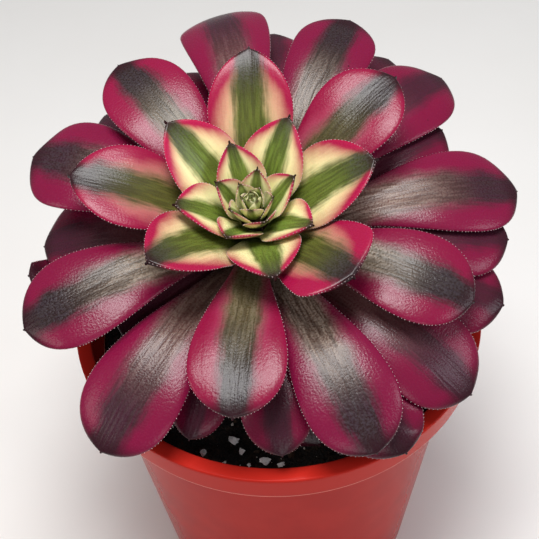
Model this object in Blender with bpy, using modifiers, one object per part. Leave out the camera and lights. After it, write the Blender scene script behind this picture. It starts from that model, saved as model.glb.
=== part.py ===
"""A potted aeonium: one spiral rosette of fleshy leaves on a short stem, in a moulded plastic grow pot.

Metres, +Z up. The origin is the centre of the pot's underside.
"""

import math

import bmesh
import bpy
import numpy as np
from mathutils import Matrix, Vector
from mathutils.bvhtree import BVHTree

GAP = 0.0003  # between pieces that touch

# Pot
RIM_RADIUS = 0.070
POT_HEIGHT = 0.125
BASE_RADIUS = 0.050
BODY_TOP_RADIUS = 0.0628  # where the body runs up inside the rim's skirt
WALL = 0.0014
FLOOR_THICKNESS = 0.0022
SKIRT_HEIGHT = 0.0104
LIP_WIDTH = 0.0050
RIM_ROUND = 0.0010
DRAIN_HOLES = 6
DRAIN_RADIUS = 0.0040
DRAIN_CIRCLE = 0.036
TURN_STEPS = 48

# Soil
SOIL_DEPTH = 0.0095  # from the rim's top down to the soil
SOIL_FOOT = 0.0070  # the height where its rounded foot begins
STEM_SOCKET = 0.0200  # how far the stem goes into the soil

# Perlite grains on the soil: azimuth in degrees, distance from the pot's axis, length and width in mm
PERLITE = (
    (-109, 51.0, 4.4, 2.8),
    (-105, 54.5, 2.6, 2.2),
    (-117, 58.5, 3.0, 2.0),
    (-97, 57.5, 3.8, 3.0),
    (-92, 58.5, 2.6, 2.2),
    (-102, 59.0, 1.6, 1.4),
)
GRAIN_FLATNESS = 0.62

# Rosette: its growing tip, and how its axis leans. Its own frame has the tip at zero and the axis up.
APEX = Vector((-0.0062, 0.0, POT_HEIGHT + 0.0503))
LEAN_FORWARD = math.radians(17)
LEAN_SIDEWAYS = math.radians(-2)
GOLDEN_ANGLE = 137.5
FIRST_AZIMUTH = 22.0
YOUNGEST = -6
OLDEST = 43
HEART_AGE = -11  # the age that the spiral starts from
NODE_SPACING = 0.0008  # along the stem, from one leaf to the next

# How a leaf changes with its age: (age, value) pairs, read by straight lines
LENGTH_MM = ((-11, 5), (-6, 11.5), (-3, 15.5), (0, 20.5), (3, 28), (6, 39), (9, 50), (12, 61),
             (15, 73), (18, 83), (22, 88), (28, 86), (36, 76), (43, 62))
HALF_WIDTH_MM = ((-6, 4.0), (-3, 5.2), (0, 6.6), (3, 8.8), (6, 11.6), (10, 13.8), (14, 14.8), (18, 15.6))
RISE_DEG = ((-6, 77), (-3, 68), (0, 62), (3, 58), (6, 54), (9, 52), (12, 48), (15, 41), (18, 37),
            (24, 34), (30, 38), (42, 36))
DROOP_DEG = ((-11, 0), (0, 5), (3, 15), (8, 28), (12, 45), (18, 62), (24, 70), (40, 66))
CUP = ((-6, 0.42), (0, 0.35), (6, 0.22), (12, 0.10), (18, -0.02), (30, -0.08))
BASE_SHARE = ((-6, 0.70), (3, 0.55), (8, 0.42), (14, 0.32), (20, 0.26))  # base width over widest
WIDEST_AT = ((-6, 0.44), (0, 0.47), (6, 0.53), (10, 0.62), (14, 0.72), (18, 0.78))
SWELL_POWER = ((-6, 1.1), (8, 1.1), (13, 1.35), (18, 1.5))  # how late the leaf widens
TIP_POWER = ((-6, 2.0), (8, 2.0), (14, 2.3))
TIP_BLUNTNESS = ((-6, 0.88), (0, 0.85), (8, 0.72), (12, 0.70), (15, 0.60), (18, 0.55), (42, 0.52))
THICKNESS_MM = ((-6, 1.2), (0, 1.6), (6, 2.2), (12, 2.8), (20, 3.0))
ROOT_RADIUS_MM = ((-11, 3.0), (29, 8.0))  # from the axis to the leaf's root

# Leaves that grew out of step, by age. turn, lift, droop and sway (a bend to one side) are degrees,
# stretch and wide are factors, and widest takes the place of WIDEST_AT.
ODD_LEAVES = {
    -2: {"turn": -5},
    -1: {"turn": -4, "lift": 3},
    0: {"turn": -2, "lift": -3},
    1: {"turn": -4, "lift": -2},
    3: {"turn": -6, "lift": -3},
    4: {"turn": -2, "lift": 3},
    5: {"turn": 5, "lift": 3},
    6: {"turn": 3},
    7: {"turn": -4, "lift": 2},
    8: {"turn": 5, "wide": 1.1},
    9: {"turn": -5, "lift": 6},
    10: {"stretch": 1.05},
    11: {"turn": 1, "lift": 7, "stretch": 0.89, "wide": 1.1, "widest": 0.84},
    12: {"turn": -3},
    13: {"turn": 3, "lift": 2, "widest": 0.74},
    14: {"turn": 5, "lift": -3, "stretch": 1.02, "widest": 0.76},
    15: {"turn": 6, "lift": -2},
    16: {"turn": -10, "lift": -5, "stretch": 0.95},
    18: {"turn": -4, "lift": 2, "wide": 0.90, "widest": 0.81},
    19: {"turn": 2, "wide": 0.95},
    20: {"turn": 4, "lift": 2, "stretch": 0.93, "wide": 1.1},
    21: {"turn": -8, "lift": -5},
    22: {"turn": -3, "lift": 1, "stretch": 0.98},
    23: {"turn": -8, "lift": 14, "stretch": 1.11, "droop": 30, "sway": 16, "widest": 0.83},
    24: {"turn": -5, "lift": -2, "stretch": 0.97},
    25: {"turn": -8, "stretch": 0.8},
    26: {"turn": -7, "stretch": 1.02},
    27: {"turn": 3, "lift": 4, "stretch": 0.86, "wide": 0.72},
    28: {"lift": -5, "stretch": 0.88},
    29: {"stretch": 0.95},
    30: {"lift": 10, "stretch": 0.65},
    31: {"turn": 3},
    32: {"turn": -4, "stretch": 1.05},
    33: {"stretch": 0.8},
    34: {"turn": 1, "lift": 5, "stretch": 0.93},
    35: {"lift": 4, "stretch": 0.9, "wide": 0.6},
    37: {"turn": 4, "lift": 3, "stretch": 1.1},
    38: {"turn": -11, "lift": 8, "stretch": 1.05},
    39: {"turn": -5, "stretch": 1.25},
}

# The stem inside the roots of the leaves: (radius, height in the rosette's frame)
STEM_PROFILE = [(0.0012, -0.0034), (0.0026, -0.0200), (0.0052, -0.0400), (0.0060, -0.0460)]

# The bud of innermost leaves: (radius, height in the rosette's frame), from its tip down
HEART_PROFILE = [
    (0.0, 0.0072),
    (0.0016, 0.0056),
    (0.0029, 0.0028),
    (0.0031, 0.0004),
    (0.0024, -0.0018),
    (0.0014, -0.0030),
    (0.0, -0.0030),
]
HEART_STEPS = 12

LEAF_CLEARANCE = 0.0005
REACH = 0.015  # how far under a leaf the search for the leaves above it starts
FINER = 4  # steps of that search between two of a leaf's own points
ROUNDS = 6
SETTLED = 0.00002

ROSETTE = (
    Matrix.Translation(APEX)
    @ Matrix.Rotation(LEAN_SIDEWAYS, 4, "Y")
    @ Matrix.Rotation(LEAN_FORWARD, 4, "X")
)


def clear_scene():
    for obj in list(bpy.data.objects):
        bpy.data.objects.remove(obj, do_unlink=True)


def collection(name):
    made = bpy.data.collections.new(name)
    bpy.context.scene.collection.children.link(made)
    return made


def material(name, colour, roughness, metallic=0.0):
    made = bpy.data.materials.new(name)
    made.use_nodes = True
    shader = made.node_tree.nodes["Principled BSDF"]
    shader.inputs["Base Color"].default_value = (*colour, 1.0)
    shader.inputs["Roughness"].default_value = roughness
    shader.inputs["Metallic"].default_value = metallic
    return made


def mesh_object(name, bm, place, finish):
    """The bmesh as a named, smooth-shaded object in a collection."""
    mesh = bpy.data.meshes.new(name)
    bm.to_mesh(mesh)
    bm.free()
    mesh.shade_smooth()
    mesh.set_sharp_from_angle(angle=math.radians(40))
    mesh.materials.append(finish)
    made = bpy.data.objects.new(name, mesh)
    place.objects.link(made)
    return made


def turned(name, profile, steps, place, finish):
    """A profile of (radius, height) points turned about Z. It runs top to bottom on its outer side."""
    bm = bmesh.new()
    points = [bm.verts.new((radius, 0.0, height)) for radius, height in profile]
    for a, b in zip(points, points[1:]):
        bm.edges.new((a, b))
    made = mesh_object(name, bm, place, finish)
    screw = made.modifiers.new("Turn", "SCREW")
    screw.steps = steps
    screw.render_steps = steps
    screw.use_merge_vertices = True
    screw.merge_threshold = 0.00005
    return made


def hide_cutter(cutter):
    cutter.hide_render = True
    cutter.display_type = "WIRE"


def subtract(target, cutter):
    cut = target.modifiers.new("Cut " + cutter.name, "BOOLEAN")
    cut.operation = "DIFFERENCE"
    cut.object = cutter


def body_radius(height):
    """The pot body's outer radius at a height above the ground."""
    share = height / (POT_HEIGHT - SKIRT_HEIGHT)
    return BASE_RADIUS + (BODY_TOP_RADIUS - BASE_RADIUS) * share


def make_pot(place, cutters, finish):
    """A tapered body whose rim turns out and down again as a skirt."""
    top = POT_HEIGHT
    skirt_foot = top - SKIRT_HEIGHT
    inner_lip = RIM_RADIUS - LIP_WIDTH
    profile = [
        (0.0, FLOOR_THICKNESS),
        (body_radius(0.0) - WALL - 0.002, FLOOR_THICKNESS),
        (body_radius(0.004) - WALL, FLOOR_THICKNESS + 0.002),
        (body_radius(skirt_foot) - WALL, skirt_foot),
        (inner_lip - 0.0007, top - 0.003),
        (inner_lip, top - RIM_ROUND),
        (inner_lip + RIM_ROUND, top),
        (RIM_RADIUS - RIM_ROUND, top),
        (RIM_RADIUS, top - RIM_ROUND),
        (RIM_RADIUS - 0.0008, skirt_foot),
        (RIM_RADIUS - 0.0008 - WALL, skirt_foot),
        (RIM_RADIUS - WALL - 0.0004, top - 0.0030),
        (inner_lip + WALL, top - 0.0036),
        (body_radius(skirt_foot), skirt_foot),
        (body_radius(0.004), 0.004),
        (BASE_RADIUS - 0.0008, 0.0012),
        (BASE_RADIUS - 0.0022, 0.0),
        (0.0, 0.0),
    ]
    pot = turned("pot", profile, TURN_STEPS, place, finish)
    for number in range(DRAIN_HOLES):
        angle = math.tau * (number + 0.5) / DRAIN_HOLES
        bm = bmesh.new()
        bmesh.ops.create_cone(
            bm, cap_ends=True, segments=10, radius1=DRAIN_RADIUS, radius2=DRAIN_RADIUS, depth=0.02
        )
        cutter = mesh_object("drain_cutter_%d" % (number + 1), bm, cutters, finish)
        cutter.location = (DRAIN_CIRCLE * math.cos(angle), DRAIN_CIRCLE * math.sin(angle), 0.0)
        hide_cutter(cutter)
        subtract(pot, cutter)
    return pot


def inner_radius(height):
    return body_radius(height) - WALL


def make_soil(place, cutters, finish):
    """One plug of potting mix with a socket for the stem. It stands on the pot's floor and walls."""
    top = POT_HEIGHT - SOIL_DEPTH
    foot = FLOOR_THICKNESS + GAP
    wall_gap = GAP + 0.0001  # measured level, across a wall that leans
    edge = 0.001
    profile = [
        (0.0, top),
        (inner_radius(top) - wall_gap - 0.004, top),
        (inner_radius(top - edge) - wall_gap, top - edge),
        (inner_radius(SOIL_FOOT) - wall_gap, SOIL_FOOT),
        (inner_radius(SOIL_FOOT) - 0.005, foot),
        (0.0, foot),
    ]
    soil = turned("soil", profile, TURN_STEPS, place, finish)
    bm = bmesh.new()
    radius = STEM_PROFILE[-1][0] + 2 * GAP
    depth = 2 * STEM_SOCKET
    bmesh.ops.create_cone(bm, cap_ends=True, segments=16, radius1=radius, radius2=radius, depth=depth)
    cutter = mesh_object("stem_cutter", bm, cutters, finish)
    middle = stem_foot() - GAP + depth / 2
    cutter.matrix_world = ROSETTE @ Matrix.Translation((0.0, 0.0, middle))
    hide_cutter(cutter)
    subtract(soil, cutter)
    return soil


def stem_foot():
    """The stem's lower end on the rosette's axis, below its growing tip."""
    surface = POT_HEIGHT - SOIL_DEPTH
    return (surface - STEM_SOCKET - APEX.z) / math.cos(LEAN_FORWARD)


def make_stem(place, finish):
    """A round stem that thickens from under the bud down into the soil."""
    foot = stem_foot()
    profile = [(0.0, STEM_PROFILE[0][1]), *STEM_PROFILE, (STEM_PROFILE[-1][0], foot), (0.0, foot)]
    stem = turned("stem", profile, 16, place, finish)
    stem.matrix_world = ROSETTE
    return stem


def make_perlite(place, finish):
    """White grains that rest on the soil, each an uneven pebble."""
    top = POT_HEIGHT - SOIL_DEPTH
    for number, (azimuth, distance, long_side, short_side) in enumerate(PERLITE, 1):
        bm = bmesh.new()
        bmesh.ops.create_icosphere(bm, subdivisions=2, radius=0.5)
        for vert in bm.verts:
            wobble = math.sin(7.0 * vert.co.x + 2.0 * number) * math.cos(6.0 * vert.co.y + number)
            vert.co *= 1.0 + 0.10 * wobble
        height = short_side * GRAIN_FLATNESS
        bmesh.ops.scale(bm, vec=(long_side * 0.001, short_side * 0.001, height * 0.001), verts=bm.verts)
        lowest = min(vert.co.z for vert in bm.verts)
        angle = math.radians(azimuth)
        where = (distance * 0.001 * math.cos(angle), distance * 0.001 * math.sin(angle), top + GAP - lowest)
        grain = mesh_object("perlite_%d" % number, bm, place, finish)
        grain.location = where
        grain.rotation_euler.z = 0.7 * number


def by_age(pairs, age):
    return float(np.interp(age, [pair[0] for pair in pairs], [pair[1] for pair in pairs]))


def leaf_stations(age):
    """Places along a leaf, from its root at 0 to its tip at 1, closer together at the tip."""
    body, tip = (7, 4) if age >= 4 else (5, 3)
    start = 0.72
    along = np.linspace(0.0, start, body)
    closing = start + (1.0 - start) * np.sin(np.linspace(0.0, math.pi / 2, tip + 1)[1:])
    return np.concatenate([along, closing])


def leaf_half_width(age, along):
    """Half the width at each station: a narrow root, the widest place, then a rounded end."""
    odd = ODD_LEAVES.get(age, {})
    widest = odd.get("widest", by_age(WIDEST_AT, age))
    share = by_age(BASE_SHARE, age)
    before = np.clip(along / widest, 0.0, 1.0)
    after = np.clip((along - widest) / (1.0 - widest), 0.0, 1.0)
    swell = (before * before * (3.0 - 2.0 * before)) ** by_age(SWELL_POWER, age)
    growing = share + (1.0 - share) * swell
    closing = (1.0 - after ** by_age(TIP_POWER, age)) ** by_age(TIP_BLUNTNESS, age)
    half = by_age(HALF_WIDTH_MM, age) * 0.001 * odd.get("wide", 1.0)
    return half * np.where(along < widest, growing, closing)


def headings(angles):
    """The level unit vectors along and across each heading."""
    level = np.zeros(len(angles))
    outward = np.stack([np.cos(angles), np.sin(angles), level], axis=1)
    sideways = np.stack([-np.sin(angles), np.cos(angles), level], axis=1)
    return outward, sideways


ACROSS = np.array([-1.0, -0.62, 0.0, 0.62, 1.0])


def leaf_surface(age):
    """The leaf's middle surface as a grid of points, the normals there, and its half thickness."""
    odd = ODD_LEAVES.get(age, {})
    along = leaf_stations(age)
    length = by_age(LENGTH_MM, age) * 0.001 * odd.get("stretch", 1.0)
    rise = by_age(RISE_DEG, age) + odd.get("lift", 0.0)
    droop = by_age(DROOP_DEG, age) + odd.get("droop", 0.0)
    middle = (along[1:] + along[:-1]) / 2
    steps = np.diff(along) * length
    slope = np.radians(rise - droop * middle**1.2)
    root_radius = by_age(ROOT_RADIUS_MM, age) * 0.001
    root_height = -NODE_SPACING * (age - HEART_AGE) - 0.001
    azimuth = math.radians(FIRST_AZIMUTH - GOLDEN_ANGLE * age + odd.get("turn", 0.0))
    sway = math.radians(odd.get("sway", 0.0))
    outward, sideways = headings(azimuth + sway * along**2)
    run = headings(azimuth + sway * middle**2)[0] * (np.cos(slope) * steps)[:, None]
    climb = np.array([0.0, 0.0, 1.0]) * (np.sin(slope) * steps)[:, None]
    root = root_radius * outward[0] + np.array([0.0, 0.0, root_height])
    spine = root + np.concatenate([np.zeros((1, 3)), np.cumsum(run + climb, axis=0)])
    slope = np.radians(rise - droop * along**1.2)
    half = leaf_half_width(age, along)
    spine_normal = -np.sin(slope)[:, None] * outward
    spine_normal[:, 2] = np.cos(slope)
    cup = by_age(CUP, age)
    offset = half[:, None, None] * ACROSS[None, :, None] * sideways[:, None, :]
    lift = (cup * half[:, None] * ACROSS[None, :] ** 2)[:, :, None] * spine_normal[:, None, :]
    normals = spine_normal[:, None, :] - 2.0 * cup * ACROSS[None, :, None] * sideways[:, None, :]
    normals /= np.linalg.norm(normals, axis=2)[:, :, None]
    points = spine[:, None, :] + offset + lift
    swell = np.sqrt(np.clip(half / half.max(), 0.0, 1.0)) * 0.35 + 0.65
    swell[-1] = 0.0
    profile = np.sqrt(1.0 - (0.999 * ACROSS) ** 2)
    thickness = by_age(THICKNESS_MM, age) * 0.001 * swell[:, None] * profile[None, :] / 2
    return points, normals, thickness


def finer(grid):
    """The same grid with points between its own, on straight lines."""
    for axis in (0, 1):
        count = grid.shape[axis]
        old = np.arange(count)
        new = np.linspace(0, count - 1, (count - 1) * FINER + 1)
        low = np.clip(new.astype(int), 0, count - 2)
        share = (new - old[low]).reshape((-1, 1, 1) if axis == 0 else (1, -1, 1))
        grid = np.take(grid, low, axis) * (1 - share) + np.take(grid, low + 1, axis) * share
    return grid


def push_down(points, normals, thickness, above):
    """Moves the leaf along its own normals until it clears every leaf above it."""
    for _ in range(ROUNDS):
        top = finer(points + normals * thickness[:, :, None])
        directions = finer(normals)
        needed = np.zeros(top.shape[:2])
        for row in range(top.shape[0]):
            for column in range(top.shape[1]):
                direction = Vector(directions[row, column]).normalized()
                start = Vector(top[row, column]) - direction * REACH
                hit = above.ray_cast(start, direction, REACH + LEAF_CLEARANCE)[3]
                if hit is not None:
                    needed[row, column] = REACH + LEAF_CLEARANCE - hit
        if needed.max() < SETTLED:
            break
        points = points - normals * spread(needed, points.shape[:2])[:, :, None]
    return points


def spread(needed, shape):
    """The largest move that any test near each of the leaf's own points asks for."""
    moves = np.zeros(shape)
    for row in range(shape[0]):
        for column in range(shape[1]):
            rows = slice(max(0, (row - 1) * FINER), (row + 1) * FINER + 1)
            columns = slice(max(0, (column - 1) * FINER), (column + 1) * FINER + 1)
            moves[row, column] = needed[rows, columns].max()
    return moves


def leaf_rings(points, normals, thickness):
    """One ring of eight points at each station: over the top, then back underneath."""
    upper = points + normals * (0.8 * thickness)[:, :, None]
    lower = points - normals * (1.2 * thickness)[:, :, None]
    under = lower[:, ::-1][:, 1:-1]
    return np.concatenate([points[:, :1], upper[:, 1:-1], points[:, -1:], under], axis=1)


def loft(rings):
    """A closed bmesh through rings of points, ending in the last ring's middle."""
    bm = bmesh.new()
    loops = [[bm.verts.new(point) for point in ring] for ring in rings[:-1]]
    for lower, upper in zip(loops, loops[1:]):
        for index in range(len(lower)):
            following = (index + 1) % len(lower)
            bm.faces.new((lower[index], lower[following], upper[following], upper[index]))
    bm.faces.new(reversed(loops[0]))
    tip = bm.verts.new(rings[-1].mean(axis=0))
    for index in range(len(loops[-1])):
        bm.faces.new((loops[-1][index], loops[-1][(index + 1) % len(loops[-1])], tip))
    bmesh.ops.recalc_face_normals(bm, faces=bm.faces)
    return bm


def faces_of(bm, offset):
    """Its points, and its faces as lists of point numbers that start at offset."""
    bm.verts.index_update()
    points = [vert.co.copy() for vert in bm.verts]
    faces = [[vert.index + offset for vert in face.verts] for face in bm.faces]
    return points, faces


def make_heart(place, finish):
    """The innermost leaves, still closed on each other as one bud."""
    heart = turned("heart_bud", HEART_PROFILE, HEART_STEPS, place, finish)
    heart.matrix_world = ROSETTE


def heart_surface():
    """The bud's surface as a loft, which the first leaves are pushed clear of."""
    turns = np.linspace(0.0, math.tau, HEART_STEPS, endpoint=False)
    rings = [
        np.stack([radius * np.cos(turns), radius * np.sin(turns), np.full(HEART_STEPS, height)], axis=1)
        for radius, height in reversed(HEART_PROFILE[:-1])
    ]
    return loft(rings)


def make_leaves(place, finish):
    """Every leaf, from the youngest out, each pushed clear of the ones above it."""
    bud = heart_surface()
    points_above, faces_above = faces_of(bud, 0)
    bud.free()
    for number, age in enumerate(range(YOUNGEST, OLDEST + 1), 1):
        points, normals, thickness = leaf_surface(age)
        above = BVHTree.FromPolygons(points_above, faces_above)
        points = push_down(points, normals, thickness, above)
        bm = loft(leaf_rings(points, normals, thickness))
        new_points, new_faces = faces_of(bm, len(points_above))
        points_above += new_points
        faces_above += new_faces
        leaf = mesh_object("leaf_%02d" % number, bm, place, finish)
        leaf.matrix_world = ROSETTE


def main():
    clear_scene()
    plant = collection("potted aeonium")
    cutters = collection("cutters")
    red = material("red pot plastic", (0.75, 0.05, 0.03), 0.25)
    flesh = material("leaf skin", (0.30, 0.03, 0.08), 0.40)
    mix = material("potting mix", (0.02, 0.015, 0.012), 0.9)
    bark = material("young bark", (0.20, 0.13, 0.08), 0.7)
    white = material("perlite", (0.85, 0.84, 0.80), 0.8)
    make_pot(plant, cutters, red)
    make_soil(plant, cutters, mix)
    make_stem(plant, bark)
    make_perlite(plant, white)
    make_heart(plant, flesh)
    make_leaves(plant, flesh)


main()
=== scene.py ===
import functools
import math
import random

import bmesh
import bpy
import numpy as np
from mathutils import Euler, Matrix, Vector, noise
from mathutils.bvhtree import BVHTree


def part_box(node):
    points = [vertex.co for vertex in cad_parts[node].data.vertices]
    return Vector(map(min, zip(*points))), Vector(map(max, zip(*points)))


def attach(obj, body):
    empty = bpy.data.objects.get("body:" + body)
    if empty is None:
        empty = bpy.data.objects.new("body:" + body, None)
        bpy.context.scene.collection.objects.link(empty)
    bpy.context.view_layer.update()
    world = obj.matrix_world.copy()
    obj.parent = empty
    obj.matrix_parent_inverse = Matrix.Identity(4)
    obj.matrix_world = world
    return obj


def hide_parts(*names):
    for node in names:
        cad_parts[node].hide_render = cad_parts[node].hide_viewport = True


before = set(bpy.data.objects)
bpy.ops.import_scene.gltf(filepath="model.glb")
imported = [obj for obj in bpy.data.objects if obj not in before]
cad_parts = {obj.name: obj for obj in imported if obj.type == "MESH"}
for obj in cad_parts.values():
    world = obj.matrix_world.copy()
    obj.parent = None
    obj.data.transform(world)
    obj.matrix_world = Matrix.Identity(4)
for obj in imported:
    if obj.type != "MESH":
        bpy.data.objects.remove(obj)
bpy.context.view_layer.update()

mm = 0.001
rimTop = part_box("pot")[1].z
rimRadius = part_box("pot")[1].x
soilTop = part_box("soil")[1].z


def linear(hexColour):  # an sRGB hex colour as the linear one that a shader wants
    parts = [int(hexColour[i:i + 2], 16) / 255 for i in (1, 3, 5)]
    return tuple(p / 12.92 if p <= 0.04045 else ((p + 0.055) / 1.055) ** 2.4 for p in parts) + (1.0,)


def addNode(tree, kind, *values, out=0, **settings):  # a shader node, its inputs in order, and its settings
    node = tree.nodes.new("ShaderNode" + kind)
    for name, value in settings.items():
        setattr(node, name, value)
    for socket, value in zip([socket for socket in node.inputs if socket.enabled], values):
        if isinstance(value, bpy.types.NodeSocket):
            tree.links.new(value, socket)
        else:
            socket.default_value = linear(value) if isinstance(value, str) else value
    return node.outputs[out] if isinstance(out, str) else [o for o in node.outputs if o.enabled][out]


def newMaterial(name, **constants):  # a material, its constant sockets, and a short way to add its nodes
    material = bpy.data.materials.new(name)
    material.use_nodes = True
    for socket, value in constants.items():
        material.node_tree.nodes["Principled BSDF"].inputs[socket.replace("_", " ")].default_value = value
    return material, functools.partial(addNode, material.node_tree)


def wire(material, **sockets):  # joins sockets to the material's shader
    tree = material.node_tree
    for name, socket in sockets.items():
        tree.links.new(socket, tree.nodes["Principled BSDF"].inputs[name.replace("_", " ")])
    return material


eased = {"interpolation_type": "SMOOTHSTEP"}  # for a MapRange node
colours = {"data_type": "RGBA"}  # for a Mix node
add, times, timesAdd = ({"operation": name} for name in ("ADD", "MULTIPLY", "MULTIPLY_ADD"))  # Math


def finishPiece(name, bm, material, slot, *nodes, smooth=True):  # a bmesh as a piece in place of nodes
    mesh = bpy.data.meshes.new(name)
    bm.to_mesh(mesh)
    bm.free()
    mesh.materials.append(material)
    if smooth:
        mesh.shade_smooth()
    piece = bpy.data.objects.new(name, mesh)
    bpy.context.scene.collection.objects.link(piece)
    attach(piece, "root")
    if nodes:
        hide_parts(*nodes)
    return piece


def turnProfile(profile, steps):  # a closed turned shape from (radius, height) points
    bm = bmesh.new()
    points = [bm.verts.new((radius, 0, height)) for radius, height in profile]
    for a, b in zip(points, points[1:]):
        bm.edges.new((a, b))
    geometry = bm.verts[:] + bm.edges[:]
    bmesh.ops.spin(
        bm, geom=geometry, cent=(0, 0, 0), axis=(0, 0, 1), angle=math.tau, steps=steps, use_merge=True
    )
    bmesh.ops.remove_doubles(bm, verts=bm.verts, dist=0.001 * mm)
    bmesh.ops.recalc_face_normals(bm, faces=bm.faces)
    return bm


def holdEdges(profile, inset):  # a point near both ends of each long side, so that its shading stays even
    held = profile[:1]
    for start, end in zip(profile, profile[1:]):
        length = math.dist(start, end)
        if length > 4 * inset:
            for share in (inset / length, 1 - inset / length):
                held.append(tuple(a + (b - a) * share for a, b in zip(start, end)))
        held.append(end)
    return held


def roundEdges(bm, width, segments, leastDeg):  # bevels each edge that bends more than leastDeg
    least = math.radians(leastDeg)
    sharp = [edge for edge in bm.edges if edge.calc_face_angle(0) > least]
    bmesh.ops.bevel(
        bm, geom=sharp, offset=width, segments=segments, profile=0.5, affect="EDGES", material=-1,
        clamp_overlap=True,
    )


# Camera, floor and light

view = {
    "focalMm": 73.1,
    "downDeg": 47.3,
    "rollDeg": -3.38,
    "distance": 380 * mm,  # from the middle of the pot's rim
    "right": 1.99 * mm,
    "up": -13.2 * mm,
}
studio = {
    "paper": ("#efece8", "#f4f2ef"),
    "sky": "#eef1f5",
    "skyStrength": 0.31,
    "floorRadius": 3.0,
    "lamps": {  # place, size, watts, colour
        "overhead": ((-0.02, -0.02, 0.80), 0.30, 4.9, "#ffffff"),
        "left": ((-0.55, -0.20, 0.50), 0.25, 0.7, "#fff7f0"),
        "right": ((0.55, -0.20, 0.50), 0.25, 1.0, "#f4f8ff"),
        "front": ((0.05, -0.60, 0.40), 0.25, 0.5, "#ffffff"),
    },
}


def setCamera():
    tilt = math.radians(view["downDeg"])
    forward = Vector((0, math.cos(tilt), -math.sin(tilt)))
    up = Vector((0, math.sin(tilt), math.cos(tilt)))
    right = Vector((1, 0, 0))
    place = Vector((0, 0, rimTop)) - forward * view["distance"] - right * view["right"] - up * view["up"]
    axes = Matrix((right, up, -forward)).transposed().to_4x4()
    camera = bpy.data.objects.new("camera", bpy.data.cameras.new("camera"))
    roll = Matrix.Rotation(math.radians(view["rollDeg"]), 4, "Z")
    camera.matrix_world = Matrix.Translation(place) @ axes @ roll
    camera.data.lens = view["focalMm"]
    camera.data.clip_start = 0.01
    bpy.context.scene.collection.objects.link(camera)
    bpy.context.scene.camera = camera


def studioPaper():  # matt white background paper: even, with hardly any tone
    material, node = newMaterial("Matt white studio paper", Roughness=0.9)
    place = node("TexCoord", out="Object")
    mottle = node("TexNoise", place, 14.0, 3.0)
    return wire(material, Base_Color=node("Mix", mottle, *studio["paper"], **colours))


def layFloor():
    bm = bmesh.new()
    bmesh.ops.create_circle(bm, cap_ends=True, segments=96, radius=studio["floorRadius"])
    mesh = bpy.data.meshes.new("floor")
    bm.to_mesh(mesh)
    bm.free()
    mesh.materials.append(studioPaper())
    floor = bpy.data.objects.new("floor", mesh)
    bpy.context.scene.collection.objects.link(floor)


def hangLamps():
    bpy.context.scene.view_settings.view_transform = "Standard"
    world = bpy.data.worlds.new("studio")
    world.use_nodes = True
    background = world.node_tree.nodes["Background"]
    background.inputs["Color"].default_value = linear(studio["sky"])
    background.inputs["Strength"].default_value = studio["skyStrength"]
    bpy.context.scene.world = world
    for name, (place, size, watts, colour) in studio["lamps"].items():
        lamp = bpy.data.objects.new(name, bpy.data.lights.new(name, "AREA"))
        lamp.data.size = size
        lamp.data.energy = watts
        lamp.data.color = linear(colour)[:3]
        lamp.location = place
        aim = Vector((0, 0, rimTop)) - Vector(place)
        lamp.rotation_euler = aim.to_track_quat("-Z", "Y").to_euler()
        bpy.context.scene.collection.objects.link(lamp)


setCamera()
layFloor()
hangLamps()
print("camera, floor and light set")

# Pot

pot = {
    "wall": 1.4 * mm,
    "floor": 2.2 * mm,
    "skirt": 10.4 * mm,
    "lip": 5.0 * mm,
    "baseRadius": 50 * mm,
    "bodyTopRadius": 62.8 * mm,
    "steps": 144,
    "edgeRound": 0.6 * mm,
    "edgeSteps": 3,
    "hold": 1.5 * mm,  # from a corner to the ring that keeps the wall beside it even
    "draft": 0.8 * mm,  # how much the skirt leans in towards its foot
    "drainHoles": 6,
    "drainRadius": 4 * mm,
    "drainCircle": 36 * mm,
    "wallColours": ("#a41a13", "#ac1f17"),
    "lipColour": "#b8271e",
    # painted highlight colour for the band at the skirt's foot
    "footHighlightColour": "#ffa090",
}


def bodyRadius(height):
    share = height / (rimTop - pot["skirt"])
    return pot["baseRadius"] + (pot["bodyTopRadius"] - pot["baseRadius"]) * share


def potPlastic():
    # Injection-moulded polypropylene, self-coloured: smooth glossy red whose gloss varies a little from
    # handling, a brighter lip where light comes through the thin wall, and a painted highlight at the skirt's
    # foot
    material, node = newMaterial("Glossy red polypropylene", IOR=1.49, Specular_IOR_Level=0.05)
    place = node("TexCoord", out="Object")
    cloud = node("TexNoise", place, 1 / (16 * mm), 4.0)
    height = node("SeparateXYZ", place, out="Z")
    foot = rimTop - pot["skirt"]
    colour = node("Mix", node("MapRange", cloud, 0.35, 0.65, **eased), *pot["wallColours"], **colours)
    onSkirt = node("MapRange", height, foot, foot + 2 * mm, **eased)
    colour = node("Mix", onSkirt, colour, pot["lipColour"], **colours)
    # painted highlight: a bright band just above the skirt's foot
    above, below = node("Math", height, foot + 0.1 * mm, operation="GREATER_THAN"), foot + 0.9 * mm
    edge = node("Math", above, node("MapRange", height, below, foot + 0.4 * mm), **times)
    colour = node("Mix", node("Math", edge, 0.9, **times), colour, pot["footHighlightColour"], **colours)
    return wire(material, Base_Color=colour, Roughness=node("MapRange", cloud, 0.3, 0.7, 0.18, 0.25))


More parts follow.
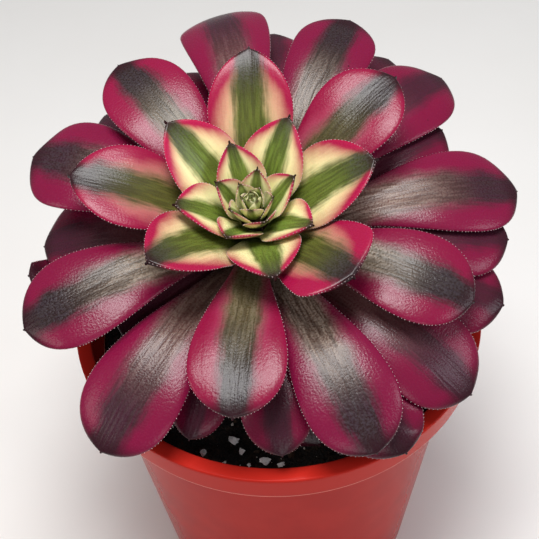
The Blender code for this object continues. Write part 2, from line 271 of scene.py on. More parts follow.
def buildPot():
    skirtFoot = rimTop - pot["skirt"]
    innerLip = rimRadius - pot["lip"]
    wall, floor = pot["wall"], pot["floor"]
    profile = [
        (0, floor),
        (bodyRadius(4 * mm) - wall, floor),
        (bodyRadius(skirtFoot) - wall, skirtFoot),
        (innerLip - 0.7 * mm, rimTop - 3 * mm),
        (innerLip, rimTop),
        (rimRadius, rimTop),
        (rimRadius - pot["draft"], skirtFoot),
        (rimRadius - pot["draft"] - wall, skirtFoot),
        (rimRadius - wall - 0.4 * mm, rimTop - 3 * mm),
        (innerLip + wall, rimTop - 3.6 * mm),
        (bodyRadius(skirtFoot), skirtFoot),
        (bodyRadius(0) - 0.3 * mm, 0),
        (0, 0),
    ]
    bm = turnProfile(holdEdges(profile, pot["hold"]), pot["steps"])
    roundEdges(bm, pot["edgeRound"], pot["edgeSteps"], 12)
    piece = finishPiece("pot_moulding", bm, potPlastic(), "pot_plastic", "pot")
    drillDrains(piece)


def drillDrains(piece):  # round holes through the floor
    bm = bmesh.new()
    for number in range(pot["drainHoles"]):
        turn = Matrix.Rotation(math.tau * (number + 0.5) / pot["drainHoles"], 4, "Z")
        radius = pot["drainRadius"]
        place = turn @ Matrix.Translation((pot["drainCircle"], 0, 0))
        bmesh.ops.create_cone(
            bm, cap_ends=True, segments=32, radius1=radius, radius2=radius, depth=20 * mm, matrix=place
        )
    mesh = bpy.data.meshes.new("drills")
    bm.to_mesh(mesh)
    bm.free()
    drills = bpy.data.objects.new("drills", mesh)
    bpy.context.scene.collection.objects.link(drills)
    cut = piece.modifiers.new("Drains", "BOOLEAN")
    cut.operation = "DIFFERENCE"
    cut.object = drills
    bpy.context.view_layer.update()
    drilled = bpy.data.meshes.new_from_object(piece.evaluated_get(bpy.context.evaluated_depsgraph_get()))
    piece.modifiers.clear()
    piece.data = drilled
    drilled.shade_smooth()
    drilled.set_sharp_from_angle(angle=math.radians(50))
    bpy.data.objects.remove(drills, do_unlink=True)


buildPot()
print("pot done")

# Potting mix

mix = {
    "steps": 180,
    "ringWidth": 0.7 * mm,
    "relief": 0.8 * mm,
    "crumbs": 1500,
    "crumbSize": (0.7 * mm, 2.4 * mm),
    "chips": 60,
    "chipSize": (1.6 * mm, 4.2 * mm),
    "flecks": 260,
    "fleckSize": (0.3 * mm, 1.6 * mm),
    "lumpFlatness": 0.7,
    "chipFlatness": 0.35,
    "footTop": 7 * mm,  # where its rounded foot begins
}


def pottingMix():  # peat and composted bark, crumbled: near black, matt, with brown fibres and a damp glint
    material, node = newMaterial("Dark peat potting mix", Specular_IOR_Level=0.35)
    place = node("TexCoord", out="Object")
    shade = node("SeparateColor", node("TexVoronoi", place, 1 / (0.9 * mm), out="Color"))
    cloud = node("TexNoise", place, 1 / (4 * mm), 6.0)
    colour = node("Mix", node("MapRange", shade, 0.5, 1.0, **eased), "#0f0b0a", "#2a2019", **colours)
    colour = node("Mix", node("MapRange", cloud, 0.5, 0.75, **eased), colour, "#37291f", **colours)
    height = node("Math", node("TexVoronoi", place, 1 / (0.9 * mm)), cloud, **add)
    rough = node("Math", shade, 0.3, 0.62, **timesAdd)
    return wire(material, Base_Color=colour, Roughness=rough, Normal=node("Bump", 0.9, 0.6 * mm, 1.0, height))


def barkChip():  # composted pine bark, broken: warm dark brown, layered, matt
    material, node = newMaterial("Composted pine bark", Roughness=0.85)
    layers = node("TexNoise", node("TexCoord", out="Object"), 1 / (0.8 * mm), 5.0)
    colour = node("Mix", layers, "#1d130d", "#5a4230", **colours)
    return wire(material, Base_Color=colour, Normal=node("Bump", 0.8, 0.3 * mm, 1.0, layers))


def paleFleck():  # crushed perlite dust and sand among the mix: off-white specks
    material, node = newMaterial("Perlite dust and sand", Roughness=0.9)
    grain = node("TexNoise", node("TexCoord", out="Object"), 1 / (0.5 * mm))
    return wire(material, Base_Color=node("Mix", grain, "#b9b1a5", "#f0ece4", **colours))


def mixHeight(x, y):  # the uneven top of the mix
    coarse = noise.noise(Vector((x, y, 0)) / (9 * mm))
    fine = noise.noise(Vector((x, y, 3 * mm)) / (2.2 * mm))
    return soilTop + mix["relief"] * (0.6 * coarse + 0.5 * fine - 0.6)


def scatter(bm, count, sizes, flatness, rng):  # broken lumps resting on the mix
    edge = bodyRadius(soilTop) - pot["wall"] - 1.6 * mm
    for _ in range(count):
        radius, turn = edge * math.sqrt(rng.uniform(0.02, 1)), rng.uniform(0, math.tau)
        x, y = radius * math.cos(turn), radius * math.sin(turn)
        size = sizes[0] + (sizes[1] - sizes[0]) * rng.random() ** 3
        spin = Euler([rng.uniform(0, math.tau) for _ in range(3)]).to_matrix().to_4x4()
        shape = Matrix.Diagonal((size, size * rng.uniform(0.6, 0.9), size * flatness, 1))
        place = Matrix.Translation((x, y, mixHeight(x, y) + 0.1 * size))
        lump = bmesh.ops.create_icosphere(bm, subdivisions=1, radius=0.5, matrix=place @ spin @ shape)
        for vert in lump["verts"]:
            vert.co += Vector([rng.uniform(-0.12, 0.12) * size for _ in range(3)])


def buildMix():
    top = soilTop - 0.2 * mm
    outer = bodyRadius(top) - pot["wall"] - 0.35 * mm
    rings = round(outer / mix["ringWidth"])
    foot, footRadius = pot["floor"] + 0.3 * mm, bodyRadius(mix["footTop"]) - pot["wall"] - 0.4 * mm
    profile = [(outer * ring / rings, top) for ring in range(rings + 1)]
    profile += [(outer, top - 1.5 * mm), (footRadius, mix["footTop"]), (footRadius - 5 * mm, foot), (0, foot)]
    bm = turnProfile(profile, mix["steps"])
    for vert in bm.verts:
        if vert.co.z > top - 0.1 * mm:
            vert.co.z = mixHeight(vert.co.x, vert.co.y)
    peat = pottingMix()
    finishPiece("mix_plug", bm, peat, "potting_mix", "soil")
    rng = random.Random(11)
    crumbs = bmesh.new()
    scatter(crumbs, mix["crumbs"], mix["crumbSize"], mix["lumpFlatness"], rng)
    finishPiece("mix_crumbs", crumbs, peat, "potting_mix", smooth=False)
    chips = bmesh.new()
    scatter(chips, mix["chips"], mix["chipSize"], mix["chipFlatness"], rng)
    finishPiece("bark_chips", chips, barkChip(), "potting_mix", smooth=False)
    flecks = bmesh.new()
    scatter(flecks, mix["flecks"], mix["fleckSize"], mix["lumpFlatness"], rng)
    finishPiece("pale_flecks", flecks, paleFleck(), "potting_mix", smooth=False)


buildMix()
print("potting mix done")

# Perlite grains

grains = {
    "count": 6,
    "knocks": 11,  # flat faces broken off each grain
    "leastDepth": 0.45,  # how near its middle a break may come, as a share of its radius
    "lumps": 0.28,
}


def foamedPerlite():  # expanded volcanic glass, heat-puffed: chalk white, pitted, quite matt
    material, node = newMaterial("Expanded perlite", Roughness=0.8)
    place = node("TexCoord", out="Object")
    cells = node("TexVoronoi", place, 1 / (0.5 * mm))
    cloud = node("TexNoise", place, 1 / (0.9 * mm), 3.0)
    shade = node("MapRange", node("Math", cells, cloud, **add), 0.35, 0.95, **eased)
    colour = node("Mix", shade, "#ebe8e0", "#ffffff", **colours)
    return wire(material, Base_Color=colour, Normal=node("Bump", 0.6, 0.15 * mm, 1.0, cells))


def buildPerlite():  # each grain is a ball with flat faces broken off it, fitted to its place
    white = foamedPerlite()
    rng = random.Random(23)
    for number in range(1, grains["count"] + 1):
        bm = bmesh.new()
        bmesh.ops.create_icosphere(bm, subdivisions=3, radius=0.5)
        for _ in range(grains["knocks"]):
            away = Vector([rng.gauss(0, 1) for _ in range(3)]).normalized()
            depth = 0.5 * rng.uniform(grains["leastDepth"], 0.95)
            cut = bmesh.ops.bisect_plane(
                bm, geom=bm.verts[:] + bm.edges[:] + bm.faces[:], plane_co=away * depth, plane_no=away,
                clear_outer=True,
            )
            rim = [item for item in cut["geom_cut"] if isinstance(item, bmesh.types.BMEdge)]
            bmesh.ops.edgeloop_fill(bm, edges=rim)
        bmesh.ops.triangulate(bm, faces=bm.faces)
        bmesh.ops.subdivide_edges(bm, edges=bm.edges, cuts=2, use_grid_fill=True)
        for vert in bm.verts:
            spot = vert.co * 5 + Vector((number * 5, 0, 0))
            vert.co *= 1 + grains["lumps"] * noise.fractal(spot, 0.8, 2.0, 4)
        fitToBox(bm, *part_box("perlite_%d" % number))
        finishPiece("perlite_grain_%d" % number, bm, white, "perlite", "perlite_%d" % number, smooth=False)


def fitToBox(bm, low, high):  # stretches a shape to fill a box
    for axis in range(3):
        values = [vert.co[axis] for vert in bm.verts]
        least, most = min(values), max(values)
        for vert in bm.verts:
            vert.co[axis] = low[axis] + (vert.co[axis] - least) / (most - least) * (high[axis] - low[axis])


buildPerlite()
print("perlite done")

# The rosette: how each leaf grows, from its age. The youngest is least, and its own frame has the
# growing tip at zero with the axis up.

rosette = {
    "apex": (-6.2 * mm, 0, rimTop + 50.3 * mm),
    "leanForwardDeg": 17,
    "leanSidewaysDeg": -2,
    "firstAzimuthDeg": 22.0,
    "goldenAngleDeg": 137.5,
    "budAge": -16,
    "youngest": -6,
    "oldest": 43,
    "startAge": -11,  # where the spiral's heights are counted from
    "spacing": 0.8 * mm,
    "gap": 0.45 * mm,  # kept between a leaf and those above it
    "reach": 15 * mm,  # how deep a crossing of two leaves may be
    "rounds": 5,
    "clearEnough": 0.03 * mm,
    "overMiddle": 0.8,  # a leaf's flesh above and below its middle surface, as shares of half its thickness
    "underMiddle": 1.2,
    "unevenness": 0.42 * mm,
    "channel": 0.55 * mm,
    "apart": 31 * mm,  # between two leaves' patterns
    "around": 36,
    "rows": 48,
    "trim": 0.5 * mm,  # off each leaf's length, for the teeth and points that stand out
    "mucro": (0.9 * mm, 1.3 * mm, 0.7 * mm),  # the small point at a leaf's end, by its length
}
growth = {  # (age, value) pairs, read by straight lines
    "lengthMm": ((-16, 4.0), (-11, 7), (-6, 11.5), (-3, 15.5), (0, 20.5), (3, 28), (6, 39), (9, 50),
                 (12, 61), (15, 73), (18, 83), (22, 88), (28, 86), (36, 76), (43, 62)),
    "halfWidthMm": ((-16, 1.2), (-11, 2.4), (-6, 4.0), (-3, 5.2), (0, 6.6), (3, 8.8), (6, 11.6),
                    (10, 13.8), (14, 14.8), (18, 15.6)),
    "riseDeg": ((-16, 86), (-11, 83), (-6, 77), (-3, 68), (0, 62), (3, 58), (6, 54), (9, 52), (12, 48),
                (15, 41), (18, 37), (24, 34), (30, 38), (42, 36)),
    "droopDeg": ((-16, -30), (-11, -14), (-6, 0), (0, 5), (3, 15), (8, 28), (12, 45), (18, 62),
                 (24, 70), (40, 66)),
    "cup": ((-16, 0.6), (-6, 0.42), (0, 0.35), (6, 0.22), (12, 0.10), (18, -0.02), (30, -0.08)),
    "baseShare": ((-6, 0.70), (3, 0.55), (8, 0.42), (14, 0.32), (20, 0.26)),
    "widestAt": ((-6, 0.44), (0, 0.47), (6, 0.53), (10, 0.62), (14, 0.72), (18, 0.78)),
    "swellPower": ((-6, 1.1), (8, 1.1), (13, 1.35), (18, 1.5)),
    "tipPower": ((-6, 2.0), (8, 2.0), (14, 2.3)),
    "tipBluntness": ((-16, 1.1), (-6, 1.0), (0, 0.88), (8, 0.72), (12, 0.70), (15, 0.60), (18, 0.55),
                     (42, 0.52)),
    "thicknessMm": ((-16, 0.3), (-6, 0.7), (0, 1.3), (6, 2.3), (12, 3.4), (20, 4.2)),
    "stripeShare": ((-16, 0.34), (-6, 0.38), (0, 0.40), (6, 0.42), (11, 0.47), (14, 0.42), (20, 0.46),
                    (26, 0.42), (43, 0.38)),
    "rootRadiusMm": ((-16, 0.8), (-11, 1.6), (-6, 3.6), (29, 8.0)),
}
# Leaves out of step, by age: turn, lift, droop and sway in degrees, stretch and wide as factors, and
# widest in place of widestAt
oddLeaves = {
    -2: {"turn": -5},
    -1: {"turn": -4, "lift": 3},
    0: {"turn": -2, "lift": -3},
    1: {"turn": -4, "lift": -2},
    3: {"turn": -6, "lift": -3},
    4: {"turn": -2, "lift": 3},
    5: {"turn": 5, "lift": 3},
    6: {"turn": 3},
    7: {"turn": -4, "lift": 2},
    8: {"turn": 5, "wide": 1.1},
    9: {"turn": -5, "lift": 6},
    10: {"stretch": 1.05},
    11: {"turn": 1, "lift": 7, "stretch": 0.89, "wide": 1.1, "widest": 0.84},
    12: {"turn": -3},
    13: {"turn": 3, "lift": 2, "widest": 0.74},
    14: {"turn": 5, "lift": -3, "stretch": 1.02, "widest": 0.76},
    15: {"turn": 6, "lift": -2},
    16: {"turn": -10, "lift": -5, "stretch": 0.95},
    18: {"turn": -4, "lift": 2, "wide": 0.90, "widest": 0.81},
    19: {"turn": 2, "wide": 0.95},
    20: {"turn": 4, "lift": 2, "stretch": 0.93, "wide": 1.1},
    21: {"turn": -8, "lift": -5},
    22: {"turn": -3, "lift": 1, "stretch": 0.98},
    23: {"turn": -8, "lift": 14, "stretch": 1.11, "droop": 30, "sway": 16, "widest": 0.83},
    24: {"turn": -5, "lift": -2, "stretch": 0.97},
    25: {"turn": -8, "stretch": 0.8},
    26: {"turn": -7, "stretch": 1.02},
    27: {"turn": 3, "lift": 4, "stretch": 0.86, "wide": 0.72},
    28: {"lift": -5, "stretch": 0.88},
    29: {"stretch": 0.95},
    30: {"lift": 10, "stretch": 0.65},
    31: {"turn": 3},
    32: {"turn": -4, "stretch": 1.05},
    33: {"stretch": 0.8},
    34: {"turn": 1, "lift": 5, "stretch": 0.93},
    35: {"lift": 4, "stretch": 0.9, "wide": 0.6},
    37: {"turn": 4, "lift": 3, "stretch": 1.1},
    38: {"turn": -11, "lift": 8, "stretch": 1.05},
    39: {"turn": -5, "stretch": 1.25},
}
toWorld = (
    Matrix.Translation(rosette["apex"])
    @ Matrix.Rotation(math.radians(rosette["leanSidewaysDeg"]), 4, "Y")
    @ Matrix.Rotation(math.radians(rosette["leanForwardDeg"]), 4, "X")
)


def byAge(name, age):
    return float(np.interp(age, [pair[0] for pair in growth[name]], [pair[1] for pair in growth[name]]))


def leafRows(length):  # shares of the length, closer together towards the tip, and where the point begins
    start, bodyRows, pointRows = 0.70, rosette["rows"] * 3 // 5, 3
    closing = np.sin(np.linspace(0, math.pi / 2, rosette["rows"] - bodyRows - pointRows + 1)[1:])
    end = 1 - np.interp(length, (15 * mm, 45 * mm, 75 * mm), rosette["mucro"]) / length
    blade = np.concatenate([np.linspace(0, start, bodyRows + 1), start + (end - start) * closing])
    return np.concatenate([blade, np.linspace(end, 1, pointRows + 1)[1:]]), end


def leafHalfWidth(age, along, end):  # half the width at each row, with the small point at the end
    odd = oddLeaves.get(age, {})
    share = along / end
    widest, base = odd.get("widest", byAge("widestAt", age)), byAge("baseShare", age)
    before = np.clip(share / widest, 0, 1)
    after = np.clip((share - widest) / (1 - widest), 0, 1)
    growing = base + (1 - base) * (before * before * (3 - 2 * before)) ** byAge("swellPower", age)
    closing = (1 - after ** byAge("tipPower", age)) ** byAge("tipBluntness", age)
    half = byAge("halfWidthMm", age) * mm * odd.get("wide", 1)
    point = 0.03 * half * np.sqrt(np.clip((1 - along) / (1 - end), 0, 1))
    return np.maximum(half * np.where(share < widest, growing, closing), point)


def headings(angles):  # the level unit vectors along and across each heading
    level = np.zeros(len(angles))
    outward = np.stack([np.cos(angles), np.sin(angles), level], axis=1)
    return outward, np.stack([-np.sin(angles), np.cos(angles), level], axis=1)


def leafShape(age):  # the middle surface on rows and lines, its normals, and its half thickness
    odd = oddLeaves.get(age, {})
    length = byAge("lengthMm", age) * mm * odd.get("stretch", 1) - rosette["trim"]
    along, end = leafRows(length)
    across = -np.cos(np.linspace(0, math.pi, rosette["around"] // 2 + 1))
    rise = byAge("riseDeg", age) + odd.get("lift", 0)
    droop = byAge("droopDeg", age) + odd.get("droop", 0)
    steps = np.diff(along) * length
    middle = (along[1:] + along[:-1]) / 2
    slope = np.radians(rise - droop * middle**1.2)
    azimuth = math.radians(rosette["firstAzimuthDeg"] - rosette["goldenAngleDeg"] * age + odd.get("turn", 0))
    sway = math.radians(odd.get("sway", 0))
    outward, sideways = headings(azimuth + sway * along**2)
    run = headings(azimuth + sway * middle**2)[0] * (np.cos(slope) * steps)[:, None]
    climb = np.array([0, 0, 1.0]) * (np.sin(slope) * steps)[:, None]
    rootHeight = -rosette["spacing"] * (max(age, -14) - rosette["startAge"]) - mm
    root = byAge("rootRadiusMm", age) * mm * outward[0] + np.array([0, 0, rootHeight])
    spine = root + np.concatenate([np.zeros((1, 3)), np.cumsum(run + climb, axis=0)])
    slope = np.radians(rise - droop * along**1.2)
    half = leafHalfWidth(age, along, end)
    spineNormal = -np.sin(slope)[:, None] * outward + np.cos(slope)[:, None] * np.array([0, 0, 1.0])
    cup = byAge("cup", age)
    offset = half[:, None, None] * across[None, :, None] * sideways[:, None, :]
    lift = (cup * half[:, None] * across[None, :] ** 2)[:, :, None] * spineNormal[:, None, :]
    normals = spineNormal[:, None, :] - 2 * cup * across[None, :, None] * sideways[:, None, :]
    normals = normals / np.linalg.norm(normals, axis=2)[:, :, None]
    points = spine[:, None, :] + offset + lift
    swell = np.sqrt(np.clip(half / half.max(), 0, 1)) * 0.45 + 0.55
    swell[-1] = 0
    bulge = np.clip(1 - np.abs(across) ** 2.4, 0, 1) ** 0.5
    thickness = byAge("thicknessMm", age) * mm * swell[:, None] * bulge[None, :] / 2
    shape = {"points": points, "normals": normals, "thickness": thickness, "half": half, "length": length}
    return {**shape, "along": along, "across": across}


def waves(age, shape):  # gentle unevenness of a grown surface, and a shallow channel down the middle
    half, across = shape["half"], shape["across"]
    size = min(1.0, shape["length"] / (60 * mm))
    for row, along in enumerate(shape["along"]):
        for line, share in enumerate(across):
            spot = Vector((share * half[row] / (9 * mm), along * shape["length"] / (14 * mm), age * 3.7))
            rise = rosette["unevenness"] * size * noise.noise(spot)
            trough = math.exp(-((share / 0.30) ** 2)) * math.sin(math.pi * min(along, 1))
            channel = rosette["channel"] * size * trough
            shape["points"][row, line] += shape["normals"][row, line] * (rise - channel)


def grow(field, largest):  # each point takes the largest, or the mean, of itself and its neighbours
    padded = np.pad(field, 1, mode="edge")
    near = [padded[r:r + field.shape[0], c:c + field.shape[1]] for r in range(3) for c in range(3)]
    return np.max(near, axis=0) if largest else np.mean(near, axis=0)


def pushDown(shape, above):  # moves a leaf along its own normals until it clears every leaf above it
    reach, gap = rosette["reach"], rosette["gap"]
    for _ in range(rosette["rounds"]):
        top = shape["points"] + shape["normals"] * (rosette["overMiddle"] * shape["thickness"])[:, :, None]
        needed = np.zeros(top.shape[:2])
        for row in range(top.shape[0]):
            for line in range(top.shape[1]):
                direction = Vector(shape["normals"][row, line])
                start = Vector(top[row, line]) - direction * reach
                distance = above.ray_cast(start, direction, reach + gap)[3]
                if distance is not None:
                    needed[row, line] = reach + gap - distance
        if needed.max() < rosette["clearEnough"]:
            return
        move = np.maximum(grow(grow(grow(needed, True), True), False), needed)
        shape["points"] = shape["points"] - shape["normals"] * move[:, :, None]


def stripeHalf(age, shape):  # half the dark stripe's width at each row: parallel if old, tapered if young
    along = shape["along"]
    young = float(np.interp(age, (2, 13), (1, 0)))
    tapered = np.interp(along, (0, 0.35, 0.7, 0.9, 1), (1.2, 1.1, 0.82, 0.5, 0.3))
    parallel = np.interp(along, (0, 0.5, 0.85, 1), (0.85, 1.0, 1.0, 0.60))
    return shape["half"].max() * byAge("stripeShare", age) * (young * tapered + (1 - young) * parallel)


def redness(age, across, along):  # from the cream beside the stripe to the red of the margin and tip
    margin = np.interp(along, (0, 0.3, 0.6, 0.8), (0.22, 0.42, 0.84, 1.05)) * abs(across) ** 1.6
    end = np.interp(along, (0.4, 0.7, 0.85, 1), (0, 0.14, 0.36, 0.8))
    flush = np.interp(age, (-10, 0), (0.45, 1))
    return (margin + end) * flush + np.interp(age, (5, 9, 11, 16), (0, 0.12, 0.30, 0.50))


def rollLeaf(age, shape):  # a grid rolled into a flat tube round the middle surface and closed at both ends
    rows, around = rosette["rows"], rosette["around"]
    bm = bmesh.new()
    bmesh.ops.create_grid(bm, x_segments=around, y_segments=rows, size=1)
    share = bm.verts.layers.float_vector.new("leafShare")  # stripe widths from the middle, along, age
    place = bm.verts.layers.float_vector.new("leafPlace")  # in metres across and along, apart for each leaf
    rim = bm.verts.layers.float_vector.new("leafRim")  # redness, underside, tone of the leaf
    tone = random.Random(age * 7 + 1000).random()
    stripe = stripeHalf(age, shape)
    for vert in bm.verts:
        column, row = round((vert.co.x + 1) / 2 * around), round((vert.co.y + 1) / 2 * rows)
        under = column > around // 2
        line = around - column if under else column
        across, half, along = shape["across"][line], shape["half"][row], shape["along"][row]
        lift = shape["thickness"][row, line] * (-rosette["underMiddle"] if under else rosette["overMiddle"])
        vert.co = shape["points"][row, line] + shape["normals"][row, line] * lift
        vert[share] = (abs(across) * half / stripe[row], along, age)
        vert[place] = (across * half, along * shape["length"], age * rosette["apart"])
        vert[rim] = (redness(age, across, along), 1.0 if under else 0.0, tone)
    bmesh.ops.remove_doubles(bm, verts=bm.verts, dist=0.0005 * mm)
    bmesh.ops.edgeloop_fill(bm, edges=[edge for edge in bm.edges if edge.is_boundary])
    bmesh.ops.recalc_face_normals(bm, faces=bm.faces)
    return bm


def addHairs(bm, shape, rng):  # short pale hairs along both margins, leaning towards the tip
    for line, side in ((0, -1), (-1, 1)):
        edge = shape["points"][:, line]
        steps = np.linalg.norm(np.diff(edge, axis=0), axis=1)
        distance = np.concatenate([[0], np.cumsum(steps)])
        where = distance[-1] * hairs["from"]
        while where < distance[-1] - mm:
            row = int(np.searchsorted(distance, where)) - 1
            share = (where - distance[row]) / steps[row]
            base = Vector(edge[row] * (1 - share) + edge[row + 1] * share)
            tangent = Vector(edge[row + 1] - edge[row]).normalized()
            normal = Vector(shape["normals"][row, line])
            outward = tangent.cross(normal) * side
            lean = outward + tangent * rng.uniform(0.2, 0.8) + normal * rng.uniform(-0.1, 0.3)
            length = rng.uniform(*hairs["length"])
            turn = lean.to_track_quat("Z", "Y").to_matrix().to_4x4()
            middle = Matrix.Translation(base + lean.normalized() * length * 0.42)
            bmesh.ops.create_cone(
                bm, cap_ends=True, segments=3, radius1=hairs["root"], radius2=hairs["tip"], depth=length,
                matrix=toWorld @ middle @ turn,
            )
            where += rng.uniform(*hairs["between"])


skin = {  # colours by leaf age
    "stripeRoot": ((-16, "#c8d688"), (-8, "#b2c26c"), (-2, "#7f9440"), (6, "#6a7e32"), (10, "#626a2c"),
                   (13, "#524b27"), (17, "#564434"), (22, "#603a38"), (28, "#6c2c40"), (43, "#5e1f36")),
    "stripeTip": ((-16, "#7d4a38"), (-8, "#5c4a30"), (-2, "#3d3a22"), (6, "#302c1c"), (12, "#221816"),
                  (18, "#241015"), (24, "#401828"), (43, "#471526")),
    "sideInner": ((-16, "#e9efb6"), (-8, "#f8f5bc"), (0, "#f8f2b2"), (8, "#f4e8aa"), (11, "#e0b48e"),
                  (13, "#b05068"), (16, "#86284e"), (22, "#7c1f45"), (30, "#861f48"), (43, "#7a1b40")),
    "sideOuter": ((-16, "#cf8a78"), (-8, "#cb5a66"), (0, "#b82850"), (8, "#a21540"), (13, "#881238"),
                  (18, "#741036"), (25, "#731034"), (43, "#6a0f30")),
    "point": "#2c0f18",
    # the grey film: partly wax bloom, partly painted sheen
    "waxAndSheen": "#b8a898",
    "vein": "#2b2018",
    # painted sheen: the blue-grey near the leaf points
    "paintedSheen": "#6a6470",
    "prick": "#2a1216",
}


def ageRamp(node, age, name):  # the colour that a list of (age, hex) gives
    low, high = rosette["budAge"], rosette["oldest"]
    colour = node("ValToRGB", node("MapRange", age, low, high))
    points = colour.node.color_ramp.elements
    while len(points) < len(skin[name]):
        points.new(0.5)
    for point, (at, hexColour) in zip(points, skin[name]):
        point.position = (at - low) / (high - low)
        point.color = linear(hexColour)
    return colour


def leafSkin():
    # Living leaf skin under a coat of natural wax: a green to purple-black stripe down the middle, cream
    # to crimson sides, fine wrinkles along the leaf, a grainy bloom and a wet-looking gloss
    material, node = newMaterial("Waxy leaf skin", IOR=1.45, Specular_IOR_Level=0.30,
                                 Subsurface_Weight=0.04, Subsurface_Scale=1.5 * mm)
    share, place, rim = (
        node("Attribute", attribute_name=name, out="Vector") for name in ("leafShare", "leafPlace", "leafRim")
    )
    across, along, age = node("SeparateXYZ", share).node.outputs
    red, under, tone = node("SeparateXYZ", rim).node.outputs
    cloud = node("TexNoise", place, 1 / (7 * mm), 3.0)
    drawn = node("Mapping", place, (0, 0, 0), (0, 0, 0), (1.0, 0.09, 1.0))
    fibre = node("TexNoise", drawn, 1 / (0.8 * mm), 4.0)
    bloom = node("TexNoise", place, 1 / (0.6 * mm), 2.0)
    stripe = stripeShare(node, across, age, cloud, fibre)
    toTip = node("MapRange", along, node("MapRange", age, 6, 16, 0.55, 0.42),
                 node("MapRange", age, 6, 16, 1.08, 0.84), **eased)
    root, tip = ageRamp(node, age, "stripeRoot"), ageRamp(node, age, "stripeTip")
    stripeColour = stripeWaxAndSheen(node, node("Mix", toTip, root, tip, **colours), along, age, fibre, bloom)
    colour = node("Mix", stripe, sideColour(node, red, age, cloud, fibre), stripeColour, **colours)
    tipStart = node("MapRange", age, -8, 8, 0.70, 0.90, **eased)
    nearTip = node("MapRange", along, tipStart, 0.99, 0.0, 0.9, **eased)
    colour = node("Mix", nearTip, colour, skin["point"], **colours)
    colour = speckled(node, colour, place)
    # painted shade: the undersides about a quarter darker
    undersideShade = node("MapRange", under, 0.4, 0.6, 1.0, 0.72)
    shade = product(node, undersideShade, node("Math", tone, 0.16, 0.92, **timesAdd))
    toned = node("HueSaturation", 0.5, 1.0, shade, 1.0, colour)
    rough = node("Math", bloom, 0.22, node("MapRange", stripe, 0, 1, 0.16, 0.18), **timesAdd)
    grown = node("MapRange", age, 2, 16, 0.25, 1.0, **eased)
    wrinkles = product(node, fibre, grown, node("MapRange", stripe, 0.0, 1.0, 0.30, 1.0))
    relief = node("Math", bloom, node("MapRange", age, 8, 17, 0.12, 0.60, **eased), wrinkles, **timesAdd)
    return wire(material, Base_Color=toned, Roughness=rough, Normal=node("Bump", 0.6, 0.30 * mm, 1.0, relief))


def stripeShare(node, across, age, cloud, fibre):  # 1 on the stripe, 0 beside it, with a ragged soft edge
    edge = node("Math", cloud, 0.60, node("Math", across, -0.30, **add), **timesAdd)
    edge = node("Math", fibre, 0.60, node("Math", edge, -0.30, **add), **timesAdd)
    return node("MapRange", edge, node("MapRange", age, 4, 14, 0.66, 0.52), 1.36, 1.0, 0.0, **eased)


def sideColour(node, red, age, cloud, fibre):  # pale beside the stripe, red to the margin and tip
    inner, outer = ageRamp(node, age, "sideInner"), ageRamp(node, age, "sideOuter")
    red = node("Math", cloud, 0.26, node("Math", red, -0.13, **add), **timesAdd)
    red = node("Math", fibre, 0.16, node("Math", red, -0.08, **add), **timesAdd)
    rosy = node("HueSaturation", 0.5, 1.0, 1.06, 1.0, node("Mix", 0.5, inner, outer, **colours))
    colour = node("Mix", node("MapRange", red, 0.30, 0.80, **eased), inner, rosy, **colours)
    return node("Mix", node("MapRange", red, 0.62, 1.12, **eased), colour, outer, **colours)


def product(node, first, *others):  # shares multiplied together
    for other in others:
        first = node("Math", first, other, **times)
    return first


def stripeWaxAndSheen(node, colour, along, age, fibre, bloom):
    # A streaky grey film on the stripes of grown leaves, partly wax bloom and partly painted sheen,
    # and a faint painted blue sheen near the point
    vein = product(
        node,
        node("MapRange", fibre, 0.40, 0.60, 0.40, 0.0, **eased),
        node("MapRange", age, 20, 26, 1, 0.3),
    )
    # grey film on the stripe: partly wax bloom, partly painted sheen
    waxAndSheenFilm = product(
        node,
        node("MapRange", age, 12, 17, **eased),
        node("MapRange", age, 19, 25, 1.0, 0.15, **eased),
        node("MapRange", along, 0.45, 0.85, 1.0, 0.0, **eased),
        node("MapRange", fibre, 0.34, 0.66, 0.10, 0.52, **eased),
        node("MapRange", bloom, 0.3, 0.65, 0.25, 1.15, **eased),
    )
    # painted sheen: a faint blue-grey near the point
    near = product(
        node,
        node("MapRange", along, 0.70, 0.84, **eased),
        node("MapRange", along, 0.98, 0.90, **eased),
        node("MapRange", bloom, 0.40, 0.65, 0.02, 0.16, **eased),
        node("MapRange", age, 2, 8, **eased),
        node("MapRange", age, 19, 24, 1.0, 0.0, **eased),
    )
    dark = node("Mix", vein, colour, skin["vein"], **colours)
    return node("Mix", near, node("Mix", waxAndSheenFilm, dark, skin["waxAndSheen"], **colours), skin["paintedSheen"], **colours)


def speckled(node, colour, place):  # a few dark pin-pricks
    cells = node("TexVoronoi", place, 1 / (6 * mm))
    chance = node("SeparateColor", cells.node.outputs["Color"], out="Green")
    size = node("MapRange", chance, 0.6, 1.0, 0.0, 0.055)
    spot = node("Math", cells, size, operation="LESS_THAN")
    return node("Mix", node("Math", spot, 0.7, **times), colour, skin["prick"], **colours)


hairs = {  # the teeth along the leaves' margins
    "length": (0.5 * mm, 1.0 * mm),
    "between": (0.8 * mm, 1.6 * mm),
    "root": 0.19 * mm,
    "tip": 0.03 * mm,
    "from": 0.3,  # the share of the margin, from the leaf's root, that stays bare
    "youngest": -9,
}


def leafHair():  # dry plant hair: straw white, faintly pink, matt
    material, node = newMaterial("Dry plant hair", Roughness=0.6)
    cloud = node("TexNoise", node("TexCoord", out="Object"), 1 / (3 * mm))
    return wire(material, Base_Color=node("Mix", cloud, "#fbf0ec", "#e8b8c0", **colours))


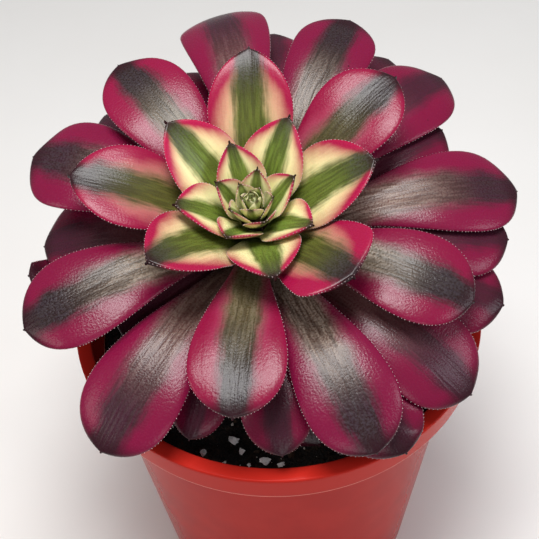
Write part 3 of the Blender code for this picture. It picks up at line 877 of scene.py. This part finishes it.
def buildLeaves():
    waxy = leafSkin()
    rng = random.Random(7)
    margins, bud, above = bmesh.new(), bmesh.new(), bmesh.new()
    for age in range(rosette["budAge"], rosette["oldest"] + 1):
        shape = leafShape(age)
        waves(age, shape)
        if age > rosette["budAge"] + 4:
            pushDown(shape, BVHTree.FromBMesh(above))
        bm = rollLeaf(age, shape)
        mesh = bpy.data.meshes.new("leaf")
        bm.to_mesh(mesh)
        above.from_mesh(mesh)
        number = age - rosette["youngest"] + 1
        if number > 0:
            bm.transform(toWorld)
            finishPiece("leaf_flesh_%02d" % number, bm, waxy, "leaf_skin", "leaf_%02d" % number)
        else:
            bud.from_mesh(mesh)
            bm.free()
        bpy.data.meshes.remove(mesh)
        if age >= hairs["youngest"]:
            addHairs(margins, shape, rng)
    bud.transform(toWorld)
    finishPiece("bud_leaves", bud, waxy, "leaf_skin", "heart_bud")
    finishPiece("margin_hairs", margins, leafHair(), "leaf_skin", smooth=False)
    above.free()


buildLeaves()
print("leaves done")

# Stem

stem = {
    "radii": ((-46, 6.0), (-40, 5.2), (-20, 2.6), (-3.4, 1.2)),  # (height, radius) in mm on its axis
    "topMm": -3.4,
    "footMm": -80,
    "stepMm": 0.6,
    "steps": 48,
    "ringDepth": 0.03,
    "ringPitch": 0.55 * mm,
    "lumps": 0.08,
    "lumpWidth": 2.5 * mm,
}


def youngBark():  # green bark turning to cork, grown: dull grey-brown with paler rings where leaves fell
    material, node = newMaterial("Young corky bark", Roughness=0.8)
    rings = node("TexNoise", node("TexCoord", out="Object"), 1 / (1.4 * mm), 5.0)
    colour = node("Mix", node("MapRange", rings, 0.35, 0.7, **eased), "#4a3527", "#8d7459", **colours)
    return wire(material, Base_Color=colour, Normal=node("Bump", 0.8, 0.3 * mm, 1.0, rings))


def buildStem():
    heights = np.arange(stem["footMm"], stem["topMm"], stem["stepMm"])
    radii = np.interp(heights, [pair[0] for pair in stem["radii"]], [pair[1] for pair in stem["radii"]])
    profile = [(0, stem["topMm"] * mm)] + [(r * mm, h * mm) for h, r in zip(heights[::-1], radii[::-1])]
    profile += [(0, stem["footMm"] * mm)]
    bm = turnProfile(profile, stem["steps"])
    for vert in bm.verts:
        ring = stem["ringDepth"] * math.sin(vert.co.z / stem["ringPitch"])
        rough = stem["lumps"] * noise.noise(vert.co / stem["lumpWidth"])
        vert.co.x *= 0.95 + ring + rough
        vert.co.y *= 0.95 + ring + rough
    bm.transform(toWorld)
    finishPiece("stem_bark", bm, youngBark(), "bark", "stem")


buildStem()
print("stem done")
